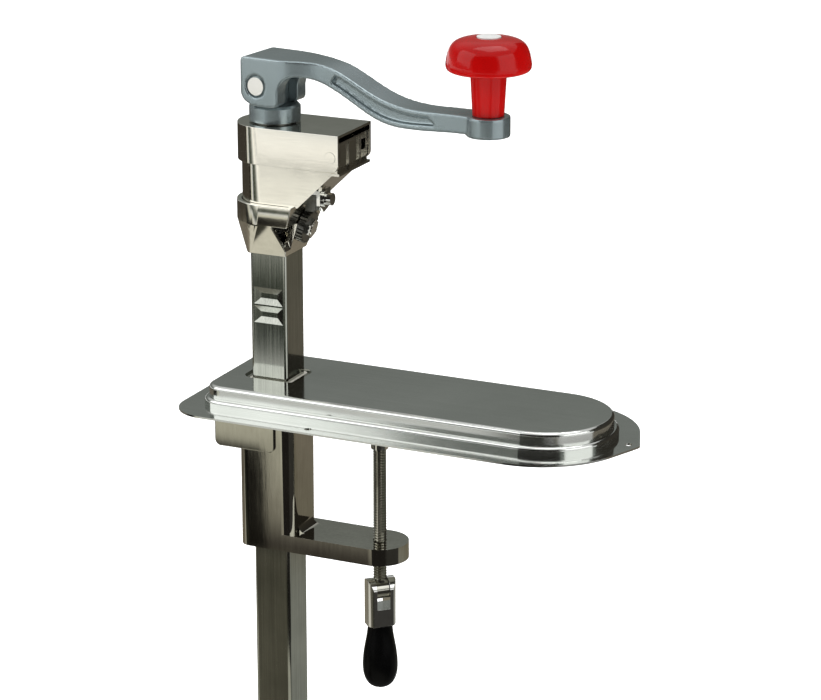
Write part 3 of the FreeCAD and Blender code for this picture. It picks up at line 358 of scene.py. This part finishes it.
startClean()
bpy.ops.mesh.primitive_plane_add(size=1, rotation=(math.pi / 2, 0, 0))
threadPiece = bpy.context.object
threadPiece.name = "threadedScrew"
bpy.ops.object.transform_apply(location=False, rotation=True, scale=False)
editAll()
bpy.ops.transform.resize(value=(thread["crest"] - thread["root"], 1, thread["pitch"]))
bpy.ops.transform.translate(value=(threadSide, 0, 0))
bpy.ops.object.mode_set(mode="OBJECT")
pickSide(threadPiece, True)
bpy.ops.object.mode_set(mode="EDIT")
bpy.ops.mesh.select_mode(type="VERT")
bpy.ops.transform.resize(value=(1, 1, thread["crestShare"]), center_override=(thread["crest"], 0, 0))
bpy.ops.object.mode_set(mode="OBJECT")
pickSide(threadPiece, False)
bpy.ops.object.mode_set(mode="EDIT")
bpy.ops.mesh.select_mode(type="EDGE")
bpy.ops.mesh.delete(type="EDGE")
bpy.ops.object.mode_set(mode="OBJECT")
threadPiece.location = ((low.x + high.x) / 2, 0, threadLow - thread["early"] * thread["pitch"])
applied(threadPiece, "SCREW", {"axis": "Z", "screw_offset": thread["pitch"], "iterations": turns,
                               "steps": thread["steps"], "render_steps": thread["steps"],
                               "use_merge_vertices": True, "merge_threshold": thread["mergeGap"]})
bpy.ops.object.transform_apply(location=True, rotation=False, scale=False)
cutAt(threadPiece, threadHigh, False)
cutAt(threadPiece, threadLow - thread["overlap"], True)
eyePiece = workingCopy("clamp_screw", "screwEye", thread["flatAngle"])
cutAt(eyePiece, threadLow, False)
spigotPiece = workingCopy("clamp_screw", "screwSpigot", thread["flatAngle"])
cutAt(spigotPiece, threadHigh, True)
startClean()
for piece in (eyePiece, spigotPiece, threadPiece):
    piece.select_set(True)
bpy.context.view_layer.objects.active = threadPiece
bpy.ops.object.join()
editAll()
bpy.ops.mesh.normals_make_consistent(inside=False)
bpy.ops.object.mode_set(mode="OBJECT")
settle(threadPiece, bodyOf["clamp_screw"], "frame_plate", "clamp_screw", thread["smoothAngle"])
print("screw thread wound,", turns, "turns")

# Pressed and folded sheet: the edges are rolled a little, so that they catch the light
rolled = {"top_cap": 0.0007, "lower_casing": 0.0005, "head_bracket": 0.0008, "sleeve_strap": 0.0007,
          "handle_yoke": 0.0008, "clamp_arm": 0.0008}
rolling = {"segments": 3, "edgeAngle": 38, "flatAngle": 1.0, "smoothAngle": 30}
for node, roll in rolled.items():
    piece = workingCopy(node, node + "Rolled", rolling["flatAngle"])
    applied(piece, "BEVEL", {"width": roll, "segments": rolling["segments"], "limit_method": "ANGLE",
                             "angle_limit": math.radians(rolling["edgeAngle"]), "miter_outer": "MITER_ARC",
                             "use_clamp_overlap": True})
    settle(piece, bodyOf[node], slotOf[node], node, rolling["smoothAngle"], True)
print("edges rolled on", len(rolled), "pieces")

# Floor, sky and studio light
studio = {"floorSize": 30.0, "floorGap": 0.0002, "floorGlow": 0.74, "floorDark": (0.90, 0.90, 0.90),
          "floorLight": (0.94, 0.94, 0.94), "floorCloud": 0.6, "floorRough": 0.9}
sky = [(0.0, (0.30, 0.31, 0.29)), (0.22, (0.15, 0.16, 0.145)), (0.38, (0.235, 0.25, 0.235)),
       (0.55, (0.55, 0.55, 0.54)), (1.0, (0.9, 0.9, 0.9))]
softboxes = {
    "keyBox": {"place": (-1.43, -1.31, 1.2), "aim": (0.05, 0, 0.1), "size": (2.0, 1.8), "power": 17.0},
    "topBox": {"place": (0.2, 0.3, 2.2), "aim": (0.05, 0, 0), "size": (1.6, 1.6), "power": 18.0},
    "sideBox": {"place": (1.85, -0.43, 0.8), "aim": (0.15, 0, 0.1), "size": (1.6, 1.3), "power": 8.0},
}
floorLevel = cadBox[0][2] - studio["floorGap"]
startClean()
bpy.ops.mesh.primitive_plane_add(size=studio["floorSize"], location=(0, 0, floorLevel))
floor = bpy.context.object
floor.name = "studioFloor"
floorBoard = Board("floorPaint")
floorTone = floorBoard.noise(floorBoard.place(), studio["floorCloud"], 2.0)
floor.data.materials.append(floorBoard.finish(floorBoard.node("ShaderNodeBsdfPrincipled", None, {
    "Base Color": floorBoard.mix(floorTone, studio["floorDark"], studio["floorLight"]),
    "Roughness": studio["floorRough"], "Specular IOR Level": 0.0, "Emission Color": (1, 1, 1, 1),
    "Emission Strength": studio["floorGlow"]})))

for name, box in softboxes.items():
    lamp = bpy.data.lights.new(name, "AREA")
    lamp.shape = "RECTANGLE"
    lamp.size, lamp.size_y = box["size"]
    lamp.energy = box["power"]
    holder = bpy.data.objects.new(name, lamp)
    bpy.context.scene.collection.objects.link(holder)
    holder.location = box["place"]
    holder.rotation_euler = (Vector(box["aim"]) - Vector(box["place"])).to_track_quat("-Z", "Y").to_euler()

world = bpy.data.worlds.new("studioWorld")
bpy.context.scene.world = world
world.use_nodes = True
skyNodes = world.node_tree.nodes
skyLinks = world.node_tree.links
skyNodes.clear()
skyWhere = skyNodes.new("ShaderNodeTexCoord")
skySplit = skyNodes.new("ShaderNodeSeparateXYZ")
skyRamp = skyNodes.new("ShaderNodeValToRGB")
skyGlow = skyNodes.new("ShaderNodeBackground")
skyOut = skyNodes.new("ShaderNodeOutputWorld")
skyLinks.new(skyWhere.outputs["Generated"], skySplit.inputs[0])
skyLinks.new(skySplit.outputs["Z"], skyRamp.inputs[0])
skyLinks.new(skyRamp.outputs[0], skyGlow.inputs[0])
skyLinks.new(skyGlow.outputs[0], skyOut.inputs[0])
layStops(skyRamp.color_ramp, sky)
print("floor and lights placed")

# Reflection table: a card just over the floor that only shows in polished metal. The ramps "front", "back"
# and "side" run from the object outwards, in metres times perMetre; each mask is where it starts and ends
table = {
    "size": 5.6, "lift": 0.004, "perMetre": 0.4, "arcMiddle": (0.1825, 0, 0), "aheadWay": (0, -1, 0),
    "acrossWay": (1, -0.53, 0), "backWay": (-0.26, 0.966, 0), "sideWay": (0.707, 0.707, 0),
    "barAcross": (-0.05, -0.03, 0.035, 0.05), "barAhead": (0.40, 0.44), "barTone": (0.13, 0.12, 0.09),
    "sleeveAcross": (0.008, 0.015), "sleeveAhead": (0.41, 0.43, 0.64, 0.66), "sleeveDark": (0.012, 0.011, 0.009),
    "lensReach": (0.905, 0.915), "lensAcross": (0.262, 0.275), "lensDark": (0.02, 0.018, 0.016),
    "sideTurn": (-0.1, 0.02), "backTurn": (-0.02, 0.03),
    "front": [(0, (0.72, 0.70, 0.60)), (0.096, (0.64, 0.62, 0.53)), (0.108, (0.04, 0.04, 0.03)),
              (0.16, (0.03, 0.03, 0.02)), (0.176, (0.08, 0.07, 0.06)), (0.2, (0.36, 0.34, 0.28)),
              (0.248, (0.56, 0.54, 0.45)), (0.296, (0.80, 0.79, 0.66)), (0.3072, (0.30, 0.30, 0.28)),
              (0.3128, (0.85, 0.85, 0.83)), (0.3288, (1.08, 1.08, 1.06)), (0.3332, (0.25, 0.25, 0.24)),
              (0.3368, (0.95, 0.96, 0.94)), (0.3472, (0.60, 0.61, 0.58)), (0.3552, (0.12, 0.13, 0.11)),
              (0.372, (0.04, 0.05, 0.04)), (0.432, (0.06, 0.07, 0.05)), (0.48, (0.20, 0.21, 0.18)),
              (0.524, (0.98, 0.97, 0.90)), (0.534, (1.28, 1.26, 1.18)), (0.56, (1.12, 1.10, 1.02)),
              (0.568, (0.86, 0.85, 0.77)), (0.6, (1.04, 1.03, 0.96)), (0.614, (1.08, 1.07, 1.00)),
              (0.6168, (0.10, 0.10, 0.08)), (0.628, (0.10, 0.10, 0.08)), (0.6304, (1.20, 1.18, 1.11)),
              (0.698, (1.10, 1.08, 1.02)), (0.72, (0.66, 0.69, 0.70)), (1, (0.55, 0.58, 0.59))],
    "back": [(0.0, (0.36, 0.37, 0.34)), (0.13, (0.34, 0.34, 0.30)), (0.18, (0.22, 0.20, 0.15)),
             (0.26, (0.26, 0.23, 0.18)), (0.33, (0.17, 0.15, 0.12)), (0.52, (0.18, 0.165, 0.13)),
             (0.60, (0.06, 0.052, 0.04)), (1.0, (0.035, 0.03, 0.024))],
    "side": [(0.0, (0.035, 0.033, 0.03)), (0.33, (0.06, 0.058, 0.052)), (0.362, (1.0, 1.0, 0.98)),
             (0.62, (0.95, 0.95, 0.93)), (1.0, (0.5, 0.5, 0.5))],
}


def finishCard(card, board, colour):
    # a glowing card that casts no shadow and that only reflections see
    card.data.materials.append(board.finish(
        board.node("ShaderNodeEmission", None, {"Color": colour, "Strength": 1.0})))
    card.visible_camera = False
    card.visible_shadow = False
    card.visible_diffuse = False


startClean()
bpy.ops.mesh.primitive_plane_add(size=table["size"])
tableCard = bpy.context.object
tableCard.name = "tableCard"
editAll()
bpy.ops.transform.translate(value=(0, 0, floorLevel + table["lift"]))
bpy.ops.object.mode_set(mode="OBJECT")
board = Board("tableCardPaint")
where = board.place()
fromArc = board.node("ShaderNodeVectorMath", {"operation": "SUBTRACT"}, {0: where, 1: table["arcMiddle"]})
levelled = board.node("ShaderNodeVectorMath", {"operation": "MULTIPLY"}, {0: fromArc, 1: (1, 1, 0)})
reach = board.node("ShaderNodeVectorMath", {"operation": "LENGTH"}, {0: levelled}, "Value")
ahead = board.along(where, table["aheadWay"])
across = board.along(where, table["acrossWay"])
behind = board.along(fromArc, table["backWay"])
beside = board.along(fromArc, table["sideWay"])
frontTone = board.node("ShaderNodeValToRGB", {"stops": table["front"]}, {"Fac": ahead * table["perMetre"]})
backTone = board.node("ShaderNodeValToRGB", {"stops": table["back"]}, {"Fac": reach * table["perMetre"]})
sideTone = board.node("ShaderNodeValToRGB", {"stops": table["side"]}, {"Fac": reach * table["perMetre"]})
barMask = board.band(across, *table["barAcross"]) * (1 - board.smooth(ahead, *table["barAhead"]))
sleeveMask = (1 - board.smooth(across, *table["sleeveAcross"])) * board.band(ahead, *table["sleeveAhead"])
frontTone = board.mix(barMask, frontTone, table["barTone"])
frontTone = board.mix(sleeveMask, frontTone, table["sleeveDark"])
lensTone = board.mix(board.smooth(reach, *table["lensReach"]), table["lensDark"], frontTone)
tone = board.mix(board.smooth(across, *table["lensAcross"]), frontTone, lensTone)
tone = board.mix(board.smooth(beside, *table["sideTurn"]), tone, sideTone)
tone = board.mix(board.smooth(behind, *table["backTurn"]), tone, backTone)
finishCard(tableCard, board, tone)

# Upright cards between two floor points, that only show in polished metal
uprights = {
    "lensCard": {"start": (1.45, -1.3), "end": (-0.62, -2.1), "top": 1.5,
                 "stops": [(0.0, (0.03, 0.028, 0.025)), (1.0, (0.02, 0.02, 0.018))]},
    "backCard": {"start": (1.95, 0.52), "end": (-0.1, 2.0), "top": 1.5,
                 "stops": [(0.0, (0.05, 0.045, 0.035)), (1.0, (0.03, 0.028, 0.024))]},
}
for name, upright in uprights.items():
    start, end = Vector(upright["start"]), Vector(upright["end"])
    run = end - start
    tall = upright["top"] - floorLevel
    startClean()
    bpy.ops.mesh.primitive_plane_add(size=1)
    card = bpy.context.object
    card.name = name
    editAll()
    bpy.ops.transform.resize(value=(run.length, tall, 1))
    bpy.ops.object.mode_set(mode="OBJECT")
    card.rotation_euler = (math.pi / 2, 0, math.atan2(run.y, run.x))
    card.location = (*((start + end) / 2), (upright["top"] + floorLevel) / 2)
    board = Board(name + "Paint")
    height = board.node("ShaderNodeSeparateXYZ", None, {"Vector": board.place()}, "Y")
    rise = height * (1 / tall) + 0.5
    finishCard(card, board, board.node("ShaderNodeValToRGB", {"stops": upright["stops"]}, {"Fac": rise}))
print("studio lit")
